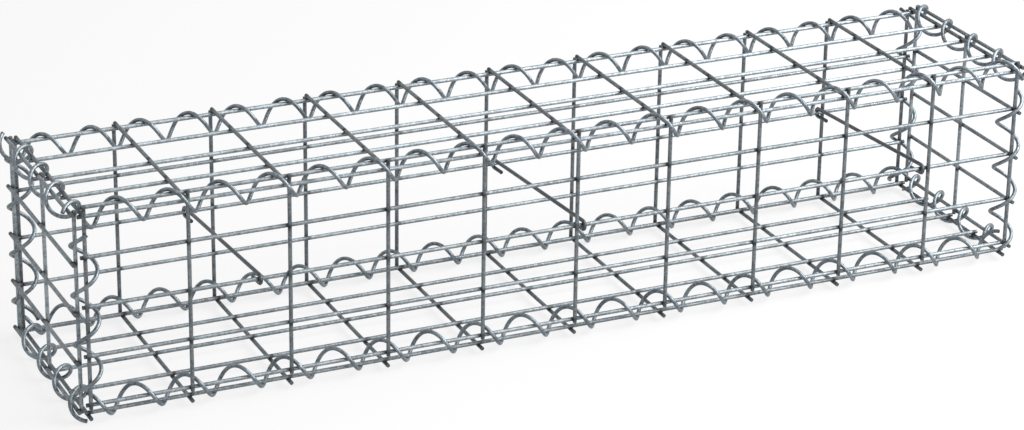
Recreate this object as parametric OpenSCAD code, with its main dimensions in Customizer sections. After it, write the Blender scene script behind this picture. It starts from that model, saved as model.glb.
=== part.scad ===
// Gabion basket of welded wire mesh, laced along its edges with wire spirals.
// Six mesh panels, twelve spirals and three spacer ties, empty as delivered.
// Millimetres, +X along the length, front at -Y, +Z up, origin under the middle at ground level.

/* [Mesh] */
// Number of mesh bays along the length
bays = 10; // [4:1:16]
// Length of one bay, from cross-wire to cross-wire
bay_length = 100; // [80:5:120]
// Mesh rows up the height
rows_high = 4; // [2:2:8]
// Mesh rows across the depth
rows_deep = 4; // [2:2:8]
// Spacing of the rows
row_pitch = 50; // [45:1:60]
// Thickness of the mesh wire
wire_d = 4; // [3.5:0.1:4.6]
// How far two wires sink into each other at a weld
weld_sink = 0.6; // [0.5:0.1:0.9]
// Play between the lid's two layers of wire, which keeps its meshes open as ways in
lid_play = 0.15; // [0.1:0.05:0.3]

/* [Wire ends] */
// Lengthwise wires past the last cross-wire
length_stub = 3.6; // [2:0.1:4]
// Uprights past the top and bottom wires
upright_stub = 2.6; // [2:0.1:3]
// Lid's cross-wires and end panels' level wires past their edge wires
cover_stub = 5; // [3:0.1:6]
// Base's cross-wires past its front wire
base_nose = 8; // [4:0.5:10]
// Base's cross-wires past its back wire
base_heel = 3.6; // [2:0.1:3.8]

/* [Lacing spirals] */
// Inside diameter of a spiral
spiral_bore = 20; // [19.5:0.1:22]
// Thickness of the spiral wire
spiral_d = 4; // [3:0.1:4.5]
// Turns of a long spiral in one bay
turns_per_bay = 2; // [2:1:2]
// How far a long spiral runs past the end cross-wires
spiral_tail = 4; // [2:0.5:6]
// Play between a spiral or tie and the wire it holds
seat_gap = 0.3; // [0.2:0.05:0.5]

/* [Seats on the spirals] */
// Where the base's front wire sits in its spiral, from the back upwards
base_front_seat = 253; // [245:1:265]
// Where the front panel's bottom wire sits in that spiral
front_seat = 160; // [150:1:175]
// Where the base's back wire sits in its spiral
base_back_seat = 212; // [208:1:216]
// Where the back panel's bottom wire sits in that spiral
back_seat = 270; // [265:1:275]
// Lid's lengthwise wires above the back panel's top wire
lid_over_back = 2; // [1.5:0.1:3]
// End panels' uprights outside the end cross-wires
end_reach = 6.5; // [6.2:0.1:7]
// End panels' top wire above the lid's end cross-wire
end_over_lid = 0.8; // [0.4:0.1:1.5]

/* [Spacer ties] */
// Thickness of the tie wire
tie_d = 4; // [3:0.1:4.5]
// First tie's distance from the left end cross-wire
left_tie_inset = 170; // [110:5:190]
// Middle tie's distance past the cross-wire at mid length
middle_tie_shift = 8; // [6:0.5:40]
// Last tie's distance from the right end cross-wire
right_tie_inset = 107; // [106:1:190]
// Length of the bent-back tail on each hook
tie_tail = 18; // [8:1:40]

/* [Hidden] */

bar_sides = 8;
spiral_sides = 5;
ring_step = 30;
tie_facets = 64;

mesh_colour = "#8b969c";
spiral_colour = "#7f8b92";
tie_colour = "#6f7a80";

// Whole bays, and even rows, so that the end uprights and the ties find a wire at mid height and mid depth
bay_count = round(bays);
high_count = 2 * round(rows_high / 2);
deep_count = 2 * round(rows_deep / 2);
length = bay_count * bay_length;
height = high_count * row_pitch;
depth = deep_count * row_pitch;
left_x = -length / 2;
right_x = length / 2;

// Layers of a panel, and the circle inside a spiral that its wires' centres touch
layer_gap = wire_d - weld_sink;
lid_layer_gap = wire_d * cos(180 / bar_sides) + lid_play;
spiral_r = spiral_bore / 2 + spiral_d / 2;
seat_r = spiral_bore / 2 - wire_d / 2 - seat_gap;
reach_r = spiral_r + spiral_d / 2;
long_pitch = bay_length / round(turns_per_bay);
short_pitch = row_pitch;

// Cross-section in [y, z], first from the base's front wire at [0, 0]
function on_circle(angle) = [cos(angle), sin(angle)];
function seat(angle) = seat_r * on_circle(angle);
// Axis of a spiral that holds wires a and b, on the side that lies furthest along lean
function spiral_axis(a, b, lean) =
    let (chord = b - a, half = norm(chord) / 2, across = [-chord[1], chord[0]] / norm(chord),
         off = sqrt(max(0, seat_r * seat_r - half * half)))
    (a + b) / 2 + (across * lean > 0 ? off : -off) * across;

base_front = [0, 0];
base_back = [depth, 0];
bottom_front_axis = base_front - seat(base_front_seat);
bottom_back_axis = base_back - seat(base_back_seat);
front_bottom = bottom_front_axis + seat(front_seat);
back_bottom = bottom_back_axis + seat(back_seat);
front_top = front_bottom + [0, height];
back_top = back_bottom + [0, height];
middle_y = (front_bottom[0] + back_bottom[0]) / 2;
lid_z = back_top[1] + lid_over_back;
lid_front = [middle_y - depth / 2, lid_z];
lid_back = [middle_y + depth / 2, lid_z];
top_front_axis = spiral_axis(front_top, lid_front, [0, -1]);
top_back_axis = spiral_axis(lid_back, back_top, [0, -1]);

// End panels: uprights inside their level wires; distances outward from the end cross-wires
lid_cross_z = lid_z + lid_layer_gap;
base_cross_z = -layer_gap;
end_top = lid_cross_z + end_over_lid;
end_bottom = end_top - height;
end_level_reach = end_reach + layer_gap;
end_front_y = middle_y - depth / 2;
end_back_y = middle_y + depth / 2;
front_upright_y = front_bottom[0] - layer_gap;
back_upright_y = back_bottom[0] + layer_gap;

// Spirals on the ends, in [outward, z] and [outward, y]
end_top_axis = spiral_axis([0, lid_cross_z], [end_level_reach, end_top], [0, -1]);
end_bottom_axis = spiral_axis([0, base_cross_z], [end_level_reach, end_bottom], [0, 1]);
corner_front_axis = spiral_axis([0, front_upright_y], [end_reach, end_front_y], [0, 1]);
corner_back_axis = spiral_axis([0, back_upright_y], [end_reach, end_back_y], [0, -1]);

// The frame: ground under the lowest spiral, origin under the middle of the whole depth
ground_z = min(end_bottom_axis[1], bottom_back_axis[1], bottom_front_axis[1]) - reach_r;
near_y = min(top_front_axis[0], bottom_front_axis[0], corner_front_axis[1]) - reach_r;
far_y = max(top_back_axis[0], bottom_back_axis[0], corner_back_axis[1]) + reach_r;
centre_y = (near_y + far_y) / 2;

// A spiral's angle where it passes the first cross-wire of its edge
top_front_phase = 200;
top_back_phase = 255;
bottom_front_phase = 90;
bottom_back_phase = 130;
end_top_phase = 270;
end_bottom_phase = 190;
corner_front_phase = 87;
corner_back_phase = 275;

// How far a short spiral runs past the first and the last wire of its edge, clear of its neighbours
left_top_run = [-1.2, 10];
right_top_run = [9.8, 5];
left_bottom_run = [4, -10.5];
right_bottom_run = [-17.5, 4];
left_front_run = [-8.4, -23.6];
right_front_run = [7, -30];
left_back_run = [-9.2, -11.2];
right_back_run = [-0.6, 7.6];

module placed(p) {
    translate([p[0], p[1] - centre_y, p[2] - ground_z]) children();
}

module along_x() {
    rotate(120, [1, 1, 1]) children();
}

module along_y() {
    rotate(-120, [1, 1, 1]) children();
}

// Straight wire on +Z, flats facing the axes
module bar(len, d) {
    rotate(180 / bar_sides) cylinder(h = len, d = d, $fn = bar_sides);
}

// Welded sheet centred on its inner wires, which run along X; the cross-wires lie on the +Z side
module mesh_sheet(crosses, cross_pitch, runs, run_pitch, run_stub, low_stub, high_stub, gap = layer_gap) {
    sheet_length = (crosses - 1) * cross_pitch;
    sheet_width = (runs - 1) * run_pitch;
    translate([-sheet_length / 2, -sheet_width / 2, 0]) {
        for (k = [0 : runs - 1])
            translate([-run_stub, k * run_pitch, 0]) along_x() bar(sheet_length + 2 * run_stub, wire_d);
        for (i = [0 : crosses - 1])
            translate([i * cross_pitch, -low_stub, gap])
                along_y() bar(sheet_width + low_stub + high_stub, wire_d);
    }
}

module side_sheet() {
    mesh_sheet(bay_count + 1, bay_length, high_count + 1, row_pitch, length_stub, upright_stub, upright_stub);
}

module end_sheet() {
    mesh_sheet(high_count + 1, row_pitch, 3, depth / 2, upright_stub, cover_stub, cover_stub);
}

// Right-handed spiral on +Z from lo to hi, at angle phase where z is 0
module spiral(pitch, phase, lo, hi) {
    first = ceil((phase + 360 * lo / pitch) / ring_step);
    last = floor((phase + 360 * hi / pitch) / ring_step);
    rings = last - first + 1;
    rise = atan2(pitch, 360 / 180 * PI * spiral_r);
    r = spiral_d / 2;
    points = [for (k = [first : last], j = [0 : spiral_sides - 1])
        let (a = k * ring_step, b = 360 * j / spiral_sides,
             out = spiral_r + r * cos(b), side = r * sin(b) * sin(rise))
        [out * cos(a) - side * sin(a), out * sin(a) + side * cos(a),
         (a - phase) * pitch / 360 - r * sin(b) * cos(rise)]];
    skin = [for (i = [0 : rings - 2], j = [0 : spiral_sides - 1])
        let (n = (j + 1) % spiral_sides, here = i * spiral_sides, next = here + spiral_sides)
        each [[here + j, next + j, next + n], [here + j, next + n, here + n]]];
    start_cap = [for (j = [0 : spiral_sides - 1]) j];
    end_cap = [for (j = [1 : spiral_sides]) rings * spiral_sides - j];
    polyhedron(points, concat(skin, [start_cap, end_cap]));
}

module long_spiral(axis, phase) {
    color(spiral_colour) placed([left_x, axis[0], axis[1]])
        along_x() spiral(long_pitch, phase, -spiral_tail, length + spiral_tail);
}

// side is -1 for the left end and 1 for the right end, where the first crossing is mirrored
module end_spiral(side, axis, phase, first_y, run) {
    color(spiral_colour) placed([side * (length / 2 + axis[0]), first_y, axis[1]])
        along_y() spiral(short_pitch, -side * phase, -run[0], depth + run[1]);
}

// On the right end a corner spiral passes its first wire half a turn later
module corner_spiral(side, axis, phase, first_z, run) {
    color(spiral_colour) placed([side * (length / 2 + axis[0]), axis[1], first_z])
        spiral(short_pitch, side < 0 ? phase : 180 + phase, -run[0], height + run[1]);
}

// Wire hooked over the mid-height wires of the back and front panels
module tie(x) {
    back = back_bottom + [0, height / 2];
    front = front_bottom + [0, height / 2];
    span = norm(front - back);
    slope = asin((front[1] - back[1]) / span);
    hook_r = wire_d / 2 + tie_d / 2 + seat_gap;
    color(tie_colour) placed([x, back[0], back[1]]) rotate([-slope, 0, 0]) rotate([90, 0, -90]) {
        translate([0, hook_r, 0]) along_x() cylinder(h = span, d = tie_d, $fn = tie_facets);
        tie_hook(hook_r);
        translate([span, 0, 0]) mirror([1, 0, 0]) tie_hook(hook_r);
    }
}

module tie_hook(hook_r) {
    rotate(90) rotate_extrude(angle = 180, $fn = tie_facets)
        translate([hook_r, 0]) circle(d = tie_d, $fn = tie_facets);
    translate([0, -hook_r, 0]) along_x() cylinder(h = tie_tail, d = tie_d, $fn = tie_facets);
}

module front_panel() {
    color(mesh_colour) placed([0, front_bottom[0], front_bottom[1] + height / 2])
        rotate([90, 0, 0]) side_sheet();
}

module back_panel() {
    color(mesh_colour) placed([0, back_bottom[0], back_bottom[1] + height / 2])
        rotate([90, 0, 180]) side_sheet();
}

module lid_panel() {
    color(mesh_colour) placed([0, middle_y, lid_z])
        mesh_sheet(bay_count + 1, bay_length, deep_count + 1, row_pitch, length_stub, cover_stub, cover_stub,
                   lid_layer_gap);
}

module base_panel() {
    color(mesh_colour) placed([0, depth / 2, 0]) rotate([180, 0, 0])
        mesh_sheet(bay_count + 1, bay_length, deep_count + 1, row_pitch, length_stub, base_heel, base_nose);
}

module left_end_panel() {
    color(mesh_colour) placed([left_x - end_reach, middle_y, end_bottom + height / 2])
        rotate([0, -90, 0]) end_sheet();
}

module right_end_panel() {
    color(mesh_colour) placed([right_x + end_reach, middle_y, end_bottom + height / 2])
        rotate([0, -90, 180]) end_sheet();
}

front_panel();
back_panel();
lid_panel();
base_panel();
left_end_panel();
right_end_panel();
long_spiral(top_front_axis, top_front_phase);  // top_front_spiral
long_spiral(top_back_axis, top_back_phase);  // top_back_spiral
long_spiral(bottom_front_axis, bottom_front_phase);  // bottom_front_spiral
long_spiral(bottom_back_axis, bottom_back_phase);  // bottom_back_spiral
end_spiral(-1, end_top_axis, end_top_phase, lid_front[0], left_top_run);  // left_top_spiral
end_spiral(-1, end_bottom_axis, end_bottom_phase, base_front[0], left_bottom_run);  // left_bottom_spiral
corner_spiral(-1, corner_front_axis, corner_front_phase, front_bottom[1], left_front_run);  // left_front_spiral
corner_spiral(-1, corner_back_axis, corner_back_phase, back_bottom[1], left_back_run);  // left_back_spiral
end_spiral(1, end_top_axis, end_top_phase, lid_front[0], right_top_run);  // right_top_spiral
end_spiral(1, end_bottom_axis, end_bottom_phase, base_front[0], right_bottom_run);  // right_bottom_spiral
corner_spiral(1, corner_front_axis, corner_front_phase, front_bottom[1], right_front_run);  // right_front_spiral
corner_spiral(1, corner_back_axis, corner_back_phase, back_bottom[1], right_back_run);  // right_back_spiral
tie(left_x + left_tie_inset);  // left_tie
tie(left_x + floor(bay_count / 2) * bay_length + middle_tie_shift);  // middle_tie
tie(right_x - right_tie_inset);  // right_tie
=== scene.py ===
import math
import bpy
from mathutils import Matrix, Vector


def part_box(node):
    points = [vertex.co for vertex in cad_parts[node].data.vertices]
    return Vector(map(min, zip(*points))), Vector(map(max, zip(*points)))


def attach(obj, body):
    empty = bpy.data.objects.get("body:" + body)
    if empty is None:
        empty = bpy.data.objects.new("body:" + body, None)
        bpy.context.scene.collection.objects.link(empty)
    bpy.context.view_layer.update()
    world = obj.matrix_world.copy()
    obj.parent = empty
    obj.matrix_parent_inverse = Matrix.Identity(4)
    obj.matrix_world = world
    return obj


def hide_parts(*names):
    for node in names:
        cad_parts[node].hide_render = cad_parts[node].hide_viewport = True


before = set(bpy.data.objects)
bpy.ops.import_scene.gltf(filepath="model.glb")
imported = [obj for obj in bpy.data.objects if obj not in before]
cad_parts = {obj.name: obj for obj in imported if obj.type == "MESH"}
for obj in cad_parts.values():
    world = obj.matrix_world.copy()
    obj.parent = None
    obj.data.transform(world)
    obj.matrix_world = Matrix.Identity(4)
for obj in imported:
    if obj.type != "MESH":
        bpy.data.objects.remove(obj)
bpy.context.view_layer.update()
scene = bpy.context.scene
print("basket frame loaded:", len(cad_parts), "nodes")

socketKinds = {int: "NodeSocketInt", float: "NodeSocketFloat"}


# helpers that every node tree is built with
def newTree(name, inputs):
    tree = bpy.data.node_groups.new(name, "GeometryNodeTree")
    for label, value in inputs.items():
        kind = socketKinds[type(value)]
        tree.interface.new_socket(label, in_out="INPUT", socket_type=kind).default_value = value
    tree.interface.new_socket("Zinc", in_out="INPUT", socket_type="NodeSocketMaterial")
    tree.interface.new_socket("Wire", in_out="OUTPUT", socket_type="NodeSocketGeometry")
    return tree


def add(tree, kind, **settings):
    node = tree.nodes.new(kind)
    for key, value in settings.items():
        setattr(node, key, value)
    return node


def feed(tree, target, value):
    if isinstance(value, bpy.types.NodeSocket):
        tree.links.new(value, target)
    else:
        target.default_value = value


def calc(tree, operation, first, second=None, third=None):
    node = add(tree, "ShaderNodeMath", operation=operation)
    for slot, value in zip(node.inputs, (first, second, third)):
        if value is not None:
            feed(tree, slot, value)
    return node.outputs[0]


def weigh(tree, shares, first, second):
    return calc(tree, "ADD", calc(tree, "MULTIPLY", first, shares[0]),
                calc(tree, "MULTIPLY", second, shares[1]))


def mixColour(tree, factor, first, second):
    node = add(tree, "ShaderNodeMix", data_type="RGBA")
    feed(tree, node.inputs["Factor"], factor)
    feed(tree, node.inputs[6], first)     # the colour sockets come after the float and vector ones
    feed(tree, node.inputs[7], second)
    return node.outputs[2]


def joinXyz(tree, x=0.0, y=0.0, z=0.0):
    node = add(tree, "ShaderNodeCombineXYZ")
    for slot, value in zip(node.inputs, (x, y, z)):
        feed(tree, slot, value)
    return node.outputs[0]


def keep(tree, geometry, name, value):
    node = add(tree, "GeometryNodeStoreNamedAttribute", data_type="FLOAT", domain="POINT")
    node.inputs["Name"].default_value = name
    feed(tree, node.inputs["Geometry"], geometry)
    feed(tree, node.inputs["Value"], value)
    return node.outputs[0]


# a tree's result as a plain mesh, placed in the basket's frame
def runTree(name, tree, values, matrix):
    holder = bpy.data.objects.new(name + ".raw", bpy.data.meshes.new(name + ".raw"))
    scene.collection.objects.link(holder)
    modifier = holder.modifiers.new(tree.name, "NODES")
    modifier.node_group = tree
    for item in tree.interface.items_tree:
        if item.in_out == "INPUT" and item.name in values:
            modifier[item.identifier] = values[item.name]
    graph = bpy.context.evaluated_depsgraph_get()
    mesh = bpy.data.meshes.new_from_object(holder.evaluated_get(graph), depsgraph=graph)
    bpy.data.objects.remove(holder, do_unlink=True)
    mesh.name = name
    mesh.transform(matrix)
    mesh.shade_smooth()
    piece = bpy.data.objects.new(name, mesh)
    scene.collection.objects.link(piece)
    return piece


def settle(piece, node):
    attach(piece, "root")
    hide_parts(node)


# zinc finish with painted light and shade, shared by every wire
zincGroup = {
    "cloudScale": 26.0,            # slow drift from fresh to dull zinc
    "cloudDetail": 4.0,
    "spangleScale": 420.0,         # crystals of about 2 mm
    "streakScale": 60.0,           # fine drawing marks
    "streakDetail": 8.0,
    "streakBreak": 0.7,
    "driftShares": (0.62, 0.38),   # cloud and crystal in the drift
    "driftRange": (0.2, 0.8),
    "edgeBreak": 0.9,              # how ragged the painted shade at a weld is
    "cutTint": 0.45,               # how far a sheared end darkens
    "sheenShares": (0.5, 0.5),     # crystal and streak in the roughness
    "markRough": 0.2,             # roughness that a mark adds
    "reliefShares": (0.6, 0.4),    # streak and crystal in the relief
    "reliefDepth": 0.0004,
    "metallic": 0.85,
}


def buildZincGroup():
    group = bpy.data.node_groups.new("zincFinishAndShade", "ShaderNodeTree")
    for side, kind, labels in (
            ("INPUT", "NodeSocketColor", ("Fresh", "Dull", "Shadeandcut")),
            ("INPUT", "NodeSocketFloat", ("Weld", "Cut", "Dulled", "Smoothest", "Roughest")),
            ("OUTPUT", "NodeSocketColor", ("Colour",)),
            ("OUTPUT", "NodeSocketFloat", ("Roughness", "Height"))):
        for label in labels:
            group.interface.new_socket(label, in_out=side, socket_type=kind)
    pick = add(group, "NodeGroupInput").outputs
    leave = add(group, "NodeGroupOutput").inputs
    place = add(group, "ShaderNodeTexCoord").outputs["Object"]

    cloud = add(group, "ShaderNodeTexNoise")
    feed(group, cloud.inputs["Vector"], place)
    feed(group, cloud.inputs["Scale"], zincGroup["cloudScale"])
    feed(group, cloud.inputs["Detail"], zincGroup["cloudDetail"])
    spangle = add(group, "ShaderNodeTexVoronoi")
    feed(group, spangle.inputs["Vector"], place)
    feed(group, spangle.inputs["Scale"], zincGroup["spangleScale"])
    crystal = add(group, "ShaderNodeSeparateColor")
    feed(group, crystal.inputs[0], spangle.outputs["Color"])
    streak = add(group, "ShaderNodeTexNoise")
    feed(group, streak.inputs["Vector"], place)
    feed(group, streak.inputs["Scale"], zincGroup["streakScale"])
    feed(group, streak.inputs["Detail"], zincGroup["streakDetail"])
    feed(group, streak.inputs["Roughness"], zincGroup["streakBreak"])

    # fresh to dull zinc, then painted shade scales it down, and below 0 painted light scales it up
    drift = add(group, "ShaderNodeMapRange", interpolation_type="SMOOTHSTEP")
    feed(group, drift.inputs["Value"],
         weigh(group, zincGroup["driftShares"], cloud.outputs[0], crystal.outputs[0]))
    for label, value in zip(("From Min", "From Max"), zincGroup["driftRange"]):
        feed(group, drift.inputs[label], value)
    agedAndShaded = add(group, "ShaderNodeVectorMath", operation="SCALE")
    feed(group, agedAndShaded.inputs[0], mixColour(group, drift.outputs[0], pick["Fresh"], pick["Dull"]))
    feed(group, agedAndShaded.inputs["Scale"], calc(group, "SUBTRACT", 1.0, pick["Dulled"]))

    # ragged painted shade at the welds, and darker sheared ends
    ragged = zincGroup["edgeBreak"]
    edge = calc(group, "MULTIPLY_ADD", streak.outputs[0], ragged, -ragged / 2)
    weldShade = calc(group, "ADD", pick["Weld"], calc(group, "MULTIPLY", edge, pick["Weld"]))
    sheared = calc(group, "MULTIPLY", pick["Cut"], zincGroup["cutTint"])
    mark = add(group, "ShaderNodeClamp")
    feed(group, mark.inputs["Value"], calc(group, "MAXIMUM", weldShade, sheared))
    feed(group, leave["Colour"], mixColour(group, mark.outputs[0], agedAndShaded.outputs[0], pick["Shadeandcut"]))

    sheen = add(group, "ShaderNodeMapRange")
    feed(group, sheen.inputs["Value"],
         weigh(group, zincGroup["sheenShares"], crystal.outputs[1], streak.outputs[0]))
    feed(group, sheen.inputs["To Min"], pick["Smoothest"])
    feed(group, sheen.inputs["To Max"], pick["Roughest"])
    feed(group, leave["Roughness"],
         calc(group, "MULTIPLY_ADD", mark.outputs[0], zincGroup["markRough"], sheen.outputs[0]))
    feed(group, leave["Height"],
         weigh(group, zincGroup["reliefShares"], streak.outputs[0], crystal.outputs[2]))
    return group


zincFinishAndShade = buildZincGroup()

# each wire's darkest colour serves both the painted shade at the welds and the darker sheared ends
zincWires = {
    "meshZinc": {"fresh": (0.285, 0.318, 0.338, 1), "dull": (0.142, 0.163, 0.178, 1),
                 "shadeandcut": (0.035, 0.038, 0.04, 1), "smoothest": 0.4, "roughest": 0.56, "bump": 0.1},
    "spiralZinc": {"fresh": (0.24, 0.276, 0.302, 1), "dull": (0.104, 0.125, 0.141, 1),
                   "shadeandcut": (0.03, 0.033, 0.035, 1), "smoothest": 0.34, "roughest": 0.5, "bump": 0.1},
    # painted shade on the ties: their zinc is about a third as bright as the mesh's
    "tieZincShaded": {"fresh": (0.095, 0.108, 0.118, 1), "dull": (0.055, 0.063, 0.07, 1),
                "shadeandcut": (0.025, 0.025, 0.028, 1), "smoothest": 0.28, "roughest": 0.46, "bump": 0.1},
}


def buildZincMaterial(name, look):
    material = bpy.data.materials.new(name)
    material.use_nodes = True
    tree = material.node_tree
    shader = tree.nodes["Principled BSDF"]
    finish = add(tree, "ShaderNodeGroup", node_tree=zincFinishAndShade)
    for label in ("fresh", "dull", "shadeandcut", "smoothest", "roughest"):
        feed(tree, finish.inputs[label.capitalize()], look[label])
    for label in ("Weld", "Cut", "Dulled"):
        mark = add(tree, "ShaderNodeAttribute", attribute_name=label.lower())
        feed(tree, finish.inputs[label], mark.outputs["Fac"])
    feed(tree, shader.inputs["Base Color"], finish.outputs["Colour"])
    feed(tree, shader.inputs["Roughness"], finish.outputs["Roughness"])
    bump = add(tree, "ShaderNodeBump")
    feed(tree, bump.inputs["Strength"], look["bump"])
    feed(tree, bump.inputs["Distance"], zincGroup["reliefDepth"])
    feed(tree, bump.inputs["Height"], finish.outputs["Height"])
    feed(tree, shader.inputs["Normal"], bump.outputs[0])
    shader.inputs["Metallic"].default_value = zincGroup["metallic"]
    return material


zinc = {name: buildZincMaterial(name, look) for name, look in zincWires.items()}
print("zinc materials built:", ", ".join(zinc))

# sizes the wires share, in metres
wireSizes = {
    "wire": 0.004,
    "spiralWire": 0.004,
    "tieWire": 0.004,
    "weldSink": 0.0006,      # how far crossing wires melt into each other
    "lidPlay": 0.00015,      # the lid's two layers stop just short of each other
}
wireInputs = {
    "Wire": wireSizes["wire"],
    "Sides": 12,
    "Ring Step": 0.004,      # spacing of the rings along a straight wire
    "Weld Reach": 0.0042,    # painted shade each side of a weld
    "Cut Reach": 0.0007,     # dark rim at a cut end
}
layerGap = wireSizes["wire"] - wireSizes["weldSink"]
flatReach = wireSizes["wire"] / 2 * math.cos(math.pi / 8)   # half an eight-sided solid bar
lidLayerGap = 2 * flatReach + wireSizes["lidPlay"]


# straight wires of one direction: a row of round bars with painted shade at the welds
def wireRow(tree, entry, alongX, count, pitch, first, wireLength, stub, weldPitch, height, dulled):
    def spread(along, across=0.0, up=0.0):
        return joinXyz(tree, along, across, up) if alongX else joinXyz(tree, across, along, up)

    line = add(tree, "GeometryNodeCurvePrimitiveLine")
    feed(tree, line.inputs["Start"], spread(calc(tree, "MULTIPLY", wireLength, -0.5)))
    feed(tree, line.inputs["End"], spread(calc(tree, "MULTIPLY", wireLength, 0.5)))
    fine = add(tree, "GeometryNodeResampleCurve", mode="LENGTH")
    feed(tree, fine.inputs["Curve"], line.outputs[0])
    feed(tree, fine.inputs["Length"], entry.outputs["Ring Step"])
    parameter = add(tree, "GeometryNodeSplineParameter")
    fromFirst = calc(tree, "SUBTRACT", parameter.outputs["Length"], stub)
    fromWeld = calc(tree, "PINGPONG", fromFirst, calc(tree, "MULTIPLY", weldPitch, 0.5))
    weldShadeRamp = add(tree, "ShaderNodeMapRange", interpolation_type="SMOOTHSTEP")
    feed(tree, weldShadeRamp.inputs["Value"], fromWeld)
    feed(tree, weldShadeRamp.inputs["From Max"], entry.outputs["Weld Reach"])
    weldShadeRamp.inputs["To Min"].default_value = 1.0
    weldShadeRamp.inputs["To Max"].default_value = 0.0
    # each wire keeps the painted shade at its welds and its own painted light and shade
    marked = keep(tree, keep(tree, fine.outputs[0], "weld", weldShadeRamp.outputs[0]), "dulled", dulled)
    spots = add(tree, "GeometryNodeMeshLine", mode="OFFSET")
    feed(tree, spots.inputs["Count"], count)
    feed(tree, spots.inputs["Start Location"], spread(0.0, first, height))
    feed(tree, spots.inputs["Offset"], spread(0.0, pitch))
    copies = add(tree, "GeometryNodeInstanceOnPoints")
    feed(tree, copies.inputs["Points"], spots.outputs[0])
    feed(tree, copies.inputs["Instance"], marked)
    real = add(tree, "GeometryNodeRealizeInstances")
    feed(tree, real.inputs[0], copies.outputs[0])
    return roundSkin(tree, entry, real.outputs[0])


# round section swept along curves, closed and marked at the cut ends
def roundSkin(tree, entry, curves):
    ring = add(tree, "GeometryNodeCurvePrimitiveCircle")
    feed(tree, ring.inputs["Resolution"], entry.outputs["Sides"])
    feed(tree, ring.inputs["Radius"], calc(tree, "MULTIPLY", entry.outputs["Wire"], 0.5))
    fromStart = add(tree, "GeometryNodeSplineParameter").outputs["Length"]
    whole = add(tree, "GeometryNodeSplineLength").outputs["Length"]
    fromEnd = calc(tree, "MINIMUM", fromStart, calc(tree, "SUBTRACT", whole, fromStart))
    cut = calc(tree, "LESS_THAN", fromEnd, entry.outputs["Cut Reach"])
    sweep = add(tree, "GeometryNodeCurveToMesh")
    feed(tree, sweep.inputs["Curve"], keep(tree, curves, "cut", cut))
    feed(tree, sweep.inputs["Profile Curve"], ring.outputs[0])
    sweep.inputs["Fill Caps"].default_value = True
    return sweep.outputs[0]


def finishTree(tree, entry, shapes):
    gather = add(tree, "GeometryNodeJoinGeometry")
    for shape in shapes:
        tree.links.new(shape, gather.inputs[0])
    real = add(tree, "GeometryNodeRealizeInstances")
    feed(tree, real.inputs[0], gather.outputs[0])
    paint = add(tree, "GeometryNodeSetMaterial")
    feed(tree, paint.inputs["Geometry"], real.outputs[0])
    feed(tree, paint.inputs["Material"], entry.outputs["Zinc"])
    feed(tree, add(tree, "NodeGroupOutput").inputs[0], paint.outputs[0])


# a long panel's sheet, which the other panels change: crosses are wires across the runs, and a stub
# is how far a wire passes its last crossing
sheetInputs = {
    "Crosses": 11, "Cross Pitch": 0.1, "Runs": 5, "Run Pitch": 0.05,
    "Run Stub": 0.0036, "Low Stub": 0.0026, "High Stub": 0.0026, "Layer Gap": layerGap,
    "Run Painted Shade": 0.0, "Cross Painted Shade": 0.3,   # painted shade on the runs and cross wires, below 0 for painted light
    "Nugget": 0.0021, "Seed": 3,
}
nuggetSet = {
    "rounds": 2,
    "turnMost": (0.5, 0.5, 6.28),
    "swellLeast": (0.95, 0.85, 0.6),
    "swellMost": (1.25, 1.1, 0.8),
    "swellSeed": 7.0,        # added to the sheet's own seed
}


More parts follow.
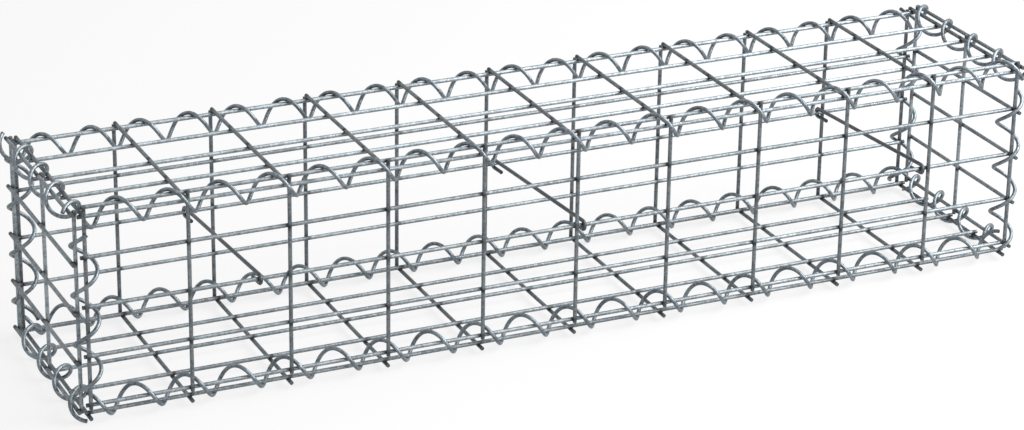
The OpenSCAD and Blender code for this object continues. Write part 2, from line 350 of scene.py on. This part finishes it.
# welded sheet: runs along X at height 0, cross-wires along Y above them, a nugget at each crossing
def buildSheetTree():
    tree = newTree("weldedSheet", {**wireInputs, **sheetInputs})
    entry = add(tree, "NodeGroupInput")
    pick = entry.outputs
    width = calc(tree, "MULTIPLY", calc(tree, "SUBTRACT", pick["Runs"], 1.0), pick["Run Pitch"])
    length = calc(tree, "MULTIPLY", calc(tree, "SUBTRACT", pick["Crosses"], 1.0), pick["Cross Pitch"])
    runs = wireRow(
        tree, entry, True, count=pick["Runs"], pitch=pick["Run Pitch"],
        first=calc(tree, "MULTIPLY", width, -0.5),
        wireLength=calc(tree, "MULTIPLY_ADD", pick["Run Stub"], 2.0, length),
        stub=pick["Run Stub"], weldPitch=pick["Cross Pitch"], height=0.0, dulled=pick["Run Painted Shade"])
    stubs = calc(tree, "ADD", pick["Low Stub"], pick["High Stub"])
    crosses = wireRow(
        tree, entry, False, count=pick["Crosses"], pitch=pick["Cross Pitch"],
        first=calc(tree, "MULTIPLY", length, -0.5), wireLength=calc(tree, "ADD", width, stubs),
        stub=pick["Low Stub"], weldPitch=pick["Run Pitch"], height=pick["Layer Gap"],
        dulled=pick["Cross Painted Shade"])
    shift = add(tree, "GeometryNodeTransform")
    feed(tree, shift.inputs["Geometry"], crosses)
    lean = calc(tree, "MULTIPLY", calc(tree, "SUBTRACT", pick["High Stub"], pick["Low Stub"]), 0.5)
    feed(tree, shift.inputs["Translation"], joinXyz(tree, 0.0, lean))

    grid = add(tree, "GeometryNodeMeshGrid")
    feed(tree, grid.inputs["Size X"], length)
    feed(tree, grid.inputs["Size Y"], width)
    feed(tree, grid.inputs["Vertices X"], pick["Crosses"])
    feed(tree, grid.inputs["Vertices Y"], pick["Runs"])
    lift = add(tree, "GeometryNodeTransform")
    feed(tree, lift.inputs["Geometry"], grid.outputs[0])
    halfGap = calc(tree, "MULTIPLY", pick["Layer Gap"], 0.5)
    feed(tree, lift.inputs["Translation"], joinXyz(tree, 0.0, 0.0, halfGap))
    bead = add(tree, "GeometryNodeMeshIcoSphere")
    feed(tree, bead.inputs["Radius"], pick["Nugget"])
    bead.inputs["Subdivisions"].default_value = nuggetSet["rounds"]
    turn = add(tree, "FunctionNodeRandomValue", data_type="FLOAT_VECTOR")
    turn.inputs[1].default_value = nuggetSet["turnMost"]
    feed(tree, turn.inputs["Seed"], pick["Seed"])
    swell = add(tree, "FunctionNodeRandomValue", data_type="FLOAT_VECTOR")
    swell.inputs[0].default_value = nuggetSet["swellLeast"]
    swell.inputs[1].default_value = nuggetSet["swellMost"]
    feed(tree, swell.inputs["Seed"], calc(tree, "ADD", pick["Seed"], nuggetSet["swellSeed"]))
    beads = add(tree, "GeometryNodeInstanceOnPoints")
    feed(tree, beads.inputs["Points"], lift.outputs[0])
    # the whole nugget takes the full painted shade of a weld
    feed(tree, beads.inputs["Instance"], keep(tree, bead.outputs[0], "weld", 1.0))
    feed(tree, beads.inputs["Rotation"], turn.outputs[0])
    feed(tree, beads.inputs["Scale"], swell.outputs[0])
    finishTree(tree, entry, [runs, shift.outputs[0], beads.outputs[0]])
    return tree


sheetTree = buildSheetTree()

# end panels: painted light on the runs and little painted shade on the cross wires
endSheet = {"Crosses": 5, "Cross Pitch": 0.05, "Runs": 3, "Run Pitch": 0.1, "Run Stub": 0.0026,
            "Low Stub": 0.005, "High Stub": 0.005, "Run Painted Shade": -0.25, "Cross Painted Shade": 0.1}
# panels: which way the sheet faces, in degrees, and where it differs from the plain long sheet, such
# as its painted light and shade on runs and cross wires
panelSet = {
    "front_panel": {"turn": (90, 0, 0), "sheet": {"Cross Painted Shade": 0.22}},
    "back_panel": {"turn": (90, 0, 180), "sheet": {"Run Painted Shade": -0.2, "Seed": 5}},
    "lid_panel": {"turn": (0, 0, 0), "sheet": {
        "Low Stub": 0.005, "High Stub": 0.005, "Layer Gap": lidLayerGap,
        "Run Painted Shade": -0.3, "Cross Painted Shade": 0.32, "Seed": 11}},
    "base_panel": {"turn": (180, 0, 0), "sheet": {
        "Low Stub": 0.0036, "High Stub": 0.008,
        "Run Painted Shade": 0.06, "Cross Painted Shade": 0.33, "Seed": 17}},
    "left_end_panel": {"turn": (0, -90, 0), "sheet": {**endSheet, "Seed": 23}},
    "right_end_panel": {"turn": (0, -90, 180), "sheet": {**endSheet, "Seed": 29}},
}


def turned(degrees):
    x, y, z = (math.radians(value) for value in degrees)
    return Matrix.Rotation(z, 4, "Z") @ Matrix.Rotation(y, 4, "Y") @ Matrix.Rotation(x, 4, "X")


def buildPanel(name, look):
    turn = turned(look["turn"])
    low, high = (Vector(corner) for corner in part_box(name))
    values = {**wireInputs, **sheetInputs, **look["sheet"], "Zinc": zinc["meshZinc"]}
    # middle of the sheet's own box, from the point between its runs
    middle = Vector((0, (values["High Stub"] - values["Low Stub"]) / 2, values["Layer Gap"] / 2))
    place = (low + high) / 2 - turn.to_3x3() @ middle
    piece = runTree(name + "_wire", sheetTree, values, Matrix.Translation(place) @ turn)
    settle(piece, name)
    return piece


panels = {name: buildPanel(name, look) for name, look in panelSet.items()}
print("mesh panels:", {name: len(piece.data.polygons) for name, piece in panels.items()})

spiralInputs = {"Turns": 4.0, "Pitch": 0.05, "Radius": 0.012, "Rings": 32}   # rings to a turn


# lacing spiral on +Z, starting at height 0 on the +X side, right-handed
def buildSpiralTree():
    tree = newTree("lacingSpiral", {**wireInputs, **spiralInputs})
    entry = add(tree, "NodeGroupInput")
    pick = entry.outputs
    coil = add(tree, "GeometryNodeCurveSpiral")
    feed(tree, coil.inputs["Resolution"], pick["Rings"])
    feed(tree, coil.inputs["Rotations"], pick["Turns"])
    feed(tree, coil.inputs["Start Radius"], pick["Radius"])
    feed(tree, coil.inputs["End Radius"], pick["Radius"])
    feed(tree, coil.inputs["Height"], calc(tree, "MULTIPLY", pick["Turns"], pick["Pitch"]))
    coil.inputs["Reverse"].default_value = True
    finishTree(tree, entry, [roundSkin(tree, entry, coil.outputs[0])])
    return tree


spiralTree = buildSpiralTree()

# spirals: the edge they run on, their angle where they pass the first wire, and that wire's place
# or the panel it is the first wire of
spiralSet = {
    "top_front_spiral": {"along": "x", "angle": 200, "first": -0.5},
    "top_back_spiral": {"along": "x", "angle": 255, "first": -0.5},
    "bottom_front_spiral": {"along": "x", "angle": 90, "first": -0.5},
    "bottom_back_spiral": {"along": "x", "angle": 130, "first": -0.5},
    "left_top_spiral": {"along": "y", "angle": 270, "first": "lid_panel"},
    "right_top_spiral": {"along": "y", "angle": -270, "first": "lid_panel"},
    "left_bottom_spiral": {"along": "y", "angle": 190, "first": "base_panel"},
    "right_bottom_spiral": {"along": "y", "angle": -190, "first": "base_panel"},
    "left_front_spiral": {"along": "z", "angle": 87, "first": "front_panel"},
    "right_front_spiral": {"along": "z", "angle": 267, "first": "front_panel"},
    "left_back_spiral": {"along": "z", "angle": 275, "first": "back_panel"},
    "right_back_spiral": {"along": "z", "angle": 455, "first": "back_panel"},
}
# how far a panel's box starts before its first wire; the base is turned over, so its high end leads
firstStub = {
    "lid_panel": panelSet["lid_panel"]["sheet"]["Low Stub"],
    "base_panel": panelSet["base_panel"]["sheet"]["High Stub"],
    "front_panel": sheetInputs["Low Stub"],
    "back_panel": sheetInputs["Low Stub"],
}
# local X, Y, Z of a spiral to the basket's axes
axisTurn = {
    "x": Matrix(((0, 0, 1, 0), (1, 0, 0, 0), (0, 1, 0, 0), (0, 0, 0, 1))),
    "y": Matrix(((0, 1, 0, 0), (0, 0, 1, 0), (1, 0, 0, 0), (0, 0, 0, 1))),
    "z": Matrix.Identity(4),
}
spiralPitch = spiralInputs["Pitch"]
spiralRise = math.atan2(spiralPitch, 2 * math.pi * spiralInputs["Radius"])
# how far the solid spirals' five-sided end face stands past the middle of the wire
endReach = wireSizes["spiralWire"] / 2 * math.sin(2 * math.pi / 5) * math.cos(spiralRise)


def buildSpiral(name, look):
    run = "xyz".index(look["along"])
    low, high = (Vector(corner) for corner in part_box(name))
    first = look["first"]
    if isinstance(first, str):
        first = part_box(first)[0][run] + firstStub[first]
    start, stop = low[run] + endReach, high[run] - endReach
    angle = math.radians(look["angle"] + 360 * (start - first) / spiralPitch)
    place = (low + high) / 2
    place[run] = start
    matrix = Matrix.Translation(place) @ axisTurn[look["along"]] @ Matrix.Rotation(angle, 4, "Z")
    values = {**wireInputs, **spiralInputs, "Wire": wireSizes["spiralWire"],
              "Turns": (stop - start) / spiralPitch, "Zinc": zinc["spiralZinc"]}
    piece = runTree(name + "_wire", spiralTree, values, matrix)
    settle(piece, name)
    return piece


spirals = {name: buildSpiral(name, look) for name, look in spiralSet.items()}
print("lacing spirals:", {name: len(piece.data.polygons) for name, piece in spirals.items()})

tieInputs = {"Span": 0.2, "Hook": 0.0043, "Tail": 0.018}
tiePath = {
    "points": 54,            # tail, hook, shaft, hook, tail
    "tipPoints": 2,          # the tip and a ring just short of it
    "tipStep": 0.0012,
    "row": 2,                # the ties hook over the middle lengthwise wires
}


# spacer tie: one path along X with a hook at each end, swept round
def buildTieTree():
    tree = newTree("spacerTie", {**wireInputs, **tieInputs})
    entry = add(tree, "NodeGroupInput")
    pick = entry.outputs
    lastPoint = tiePath["points"] - 1.0
    line = add(tree, "GeometryNodeCurvePrimitiveLine")
    fine = add(tree, "GeometryNodeResampleCurve", mode="COUNT")
    fine.inputs["Count"].default_value = tiePath["points"]
    feed(tree, fine.inputs["Curve"], line.outputs[0])
    step = add(tree, "GeometryNodeInputIndex").outputs[0]
    # the second half mirrors the first
    near = calc(tree, "MINIMUM", step, calc(tree, "SUBTRACT", lastPoint, step))
    isFar = calc(tree, "GREATER_THAN", step, lastPoint / 2)
    turn = add(tree, "ShaderNodeMapRange")
    feed(tree, turn.inputs["Value"], near)
    turn.inputs["From Min"].default_value = tiePath["tipPoints"]
    turn.inputs["From Max"].default_value = tiePath["points"] / 2 - 1
    turn.inputs["To Min"].default_value = -math.pi / 2
    turn.inputs["To Max"].default_value = -1.5 * math.pi
    isTip = calc(tree, "LESS_THAN", near, tiePath["tipPoints"] - 0.5)
    tip = calc(tree, "MULTIPLY_ADD", near, -tiePath["tipStep"], pick["Tail"])
    across = calc(tree, "MULTIPLY_ADD", isTip, tip,
                  calc(tree, "MULTIPLY", calc(tree, "COSINE", turn.outputs[0]), pick["Hook"]))
    up = calc(tree, "MULTIPLY", calc(tree, "SINE", turn.outputs[0]), pick["Hook"])
    reach = add(tree, "ShaderNodeMix", data_type="FLOAT")
    feed(tree, reach.inputs["Factor"], isFar)
    feed(tree, reach.inputs["A"], across)
    feed(tree, reach.inputs["B"], calc(tree, "SUBTRACT", pick["Span"], across))
    bend = add(tree, "GeometryNodeSetPosition")
    feed(tree, bend.inputs["Geometry"], fine.outputs[0])
    feed(tree, bend.inputs["Position"], joinXyz(tree, reach.outputs[0], up))
    finishTree(tree, entry, [roundSkin(tree, entry, bend.outputs[0])])
    return tree


tieTree = buildTieTree()


def buildTie(name):
    low, high = (Vector(corner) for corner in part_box(name))
    rowHeight = sheetInputs["Low Stub"] + tiePath["row"] * sheetInputs["Run Pitch"]
    backLow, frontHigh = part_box("back_panel")[0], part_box("front_panel")[1]
    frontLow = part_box("front_panel")[0]
    back = Vector((backLow[1] + flatReach, backLow[2] + rowHeight))
    front = Vector((frontHigh[1] - flatReach, frontLow[2] + rowHeight))
    span = (front - back).length
    slope = math.asin((front[1] - back[1]) / span)
    matrix = (Matrix.Translation(((low[0] + high[0]) / 2, back[0], back[1]))
              @ Matrix.Rotation(-slope, 4, "X") @ turned((90, 0, -90)))
    values = {**wireInputs, **tieInputs, "Wire": wireSizes["tieWire"], "Span": span,
              "Zinc": zinc["tieZincShaded"]}
    piece = runTree(name + "_wire", tieTree, values, matrix)
    settle(piece, name)
    return piece


ties = {name: buildTie(name) for name in ("left_tie", "middle_tie", "right_tie")}
print("spacer ties:", {name: len(piece.data.polygons) for name, piece in ties.items()})

# pale floor, white all round for the camera and in the metal
studio = {
    "floorSize": 12.0,
    "floorTone": (0.86, 0.86, 0.86, 1),
    "white": (1, 1, 1, 1),
    "glow": 0.8,             # share of white that the camera sees in the floor, beside its shadow
    "fill": 0.25,            # light from all round
    "lampAim": (0, 0, 0.1),
}


def whiteRays(tree):
    path = add(tree, "ShaderNodeLightPath").outputs
    seen = calc(tree, "MAXIMUM", path["Is Camera Ray"], path["Is Glossy Ray"])
    return calc(tree, "MAXIMUM", seen, path["Is Transmission Ray"])


def mixShader(tree, factor, first, second, output):
    mix = add(tree, "ShaderNodeMixShader")
    feed(tree, mix.inputs[0], factor)
    tree.links.new(first.outputs[0], mix.inputs[1])
    tree.links.new(second.outputs[0], mix.inputs[2])
    tree.links.new(mix.outputs[0], add(tree, output).inputs[0])


def buildFloor():
    half = studio["floorSize"] / 2
    corners = [(-half, -half, 0), (half, -half, 0), (half, half, 0), (-half, half, 0)]
    mesh = bpy.data.meshes.new("studioFloor")
    mesh.from_pydata(corners, [], [(0, 1, 2, 3)])
    floor = bpy.data.objects.new("studioFloor", mesh)
    scene.collection.objects.link(floor)
    material = bpy.data.materials.new("paleFloor")
    material.use_nodes = True
    tree = material.node_tree
    tree.nodes.clear()
    matte = add(tree, "ShaderNodeBsdfDiffuse")
    matte.inputs["Color"].default_value = studio["floorTone"]
    glow = add(tree, "ShaderNodeEmission")
    glow.inputs["Color"].default_value = studio["white"]
    share = calc(tree, "MULTIPLY", whiteRays(tree), studio["glow"])
    mixShader(tree, share, matte, glow, "ShaderNodeOutputMaterial")
    mesh.materials.append(material)


def buildWorld():
    world = bpy.data.worlds.new("studioWorld")
    scene.world = world
    world.use_nodes = True
    tree = world.node_tree
    tree.nodes.clear()
    light = add(tree, "ShaderNodeBackground")
    light.inputs["Color"].default_value = studio["white"]
    light.inputs["Strength"].default_value = studio["fill"]
    backdrop = add(tree, "ShaderNodeBackground")
    backdrop.inputs["Color"].default_value = studio["white"]
    mixShader(tree, whiteRays(tree), light, backdrop, "ShaderNodeOutputWorld")


buildFloor()
buildWorld()

# soft boxes right of the basket, so its wires get lighter towards that end
lampSet = {
    "overheadBox": {"place": (1.95, -0.55, 2.15), "size": (2.6, 2.4), "watts": 106},
    "frontBox": {"place": (1.9, -2.0, 1.35), "size": (2.2, 1.5), "watts": 54},
}


def buildLamp(name, lamp):
    light = bpy.data.lights.new(name, "AREA")
    light.shape = "RECTANGLE"
    light.energy = lamp["watts"]
    light.size, light.size_y = lamp["size"]
    holder = bpy.data.objects.new(name, light)
    holder.location = lamp["place"]
    aim = Vector(studio["lampAim"]) - holder.location
    holder.rotation_euler = aim.to_track_quat("-Z", "Y").to_euler()
    scene.collection.objects.link(holder)


for name, lamp in lampSet.items():
    buildLamp(name, lamp)
print("studio lit by", ", ".join(lampSet))

# the photograph's view: angles in degrees, focal length in pixels of the photo
viewSet = {
    "azimuth": -24.87, "elevation": 22.75, "roll": 0.86,
    "distance": 3.302, "target": (-0.0221, -0.00472, 0.0963),
    "focal": 3280.0, "pixels": 1024, "sensor": 36, "clipEnd": 100,
}


def buildCamera():
    angles = (viewSet["azimuth"], viewSet["elevation"], viewSet["roll"])
    azimuth, elevation, roll = (math.radians(angle) for angle in angles)
    level = math.cos(elevation)
    back = Vector((math.sin(azimuth) * level, -math.cos(azimuth) * level, math.sin(elevation)))
    right = Vector((math.cos(azimuth), math.sin(azimuth), 0))
    up = back.cross(right)
    tiltedRight = right * math.cos(roll) + up * math.sin(roll)
    tiltedUp = up * math.cos(roll) - right * math.sin(roll)
    lens = bpy.data.cameras.new("photoCamera")
    lens.sensor_fit = "HORIZONTAL"
    lens.sensor_width = viewSet["sensor"]
    lens.lens = viewSet["focal"] * viewSet["sensor"] / viewSet["pixels"]
    lens.clip_end = viewSet["clipEnd"]
    camera = bpy.data.objects.new("photoCamera", lens)
    turn = Matrix((tiltedRight, tiltedUp, back)).transposed().to_4x4()
    place = Vector(viewSet["target"]) + back * viewSet["distance"]
    camera.matrix_world = Matrix.Translation(place) @ turn
    scene.collection.objects.link(camera)
    scene.camera = camera


buildCamera()
scene.view_settings.view_transform = "Standard"
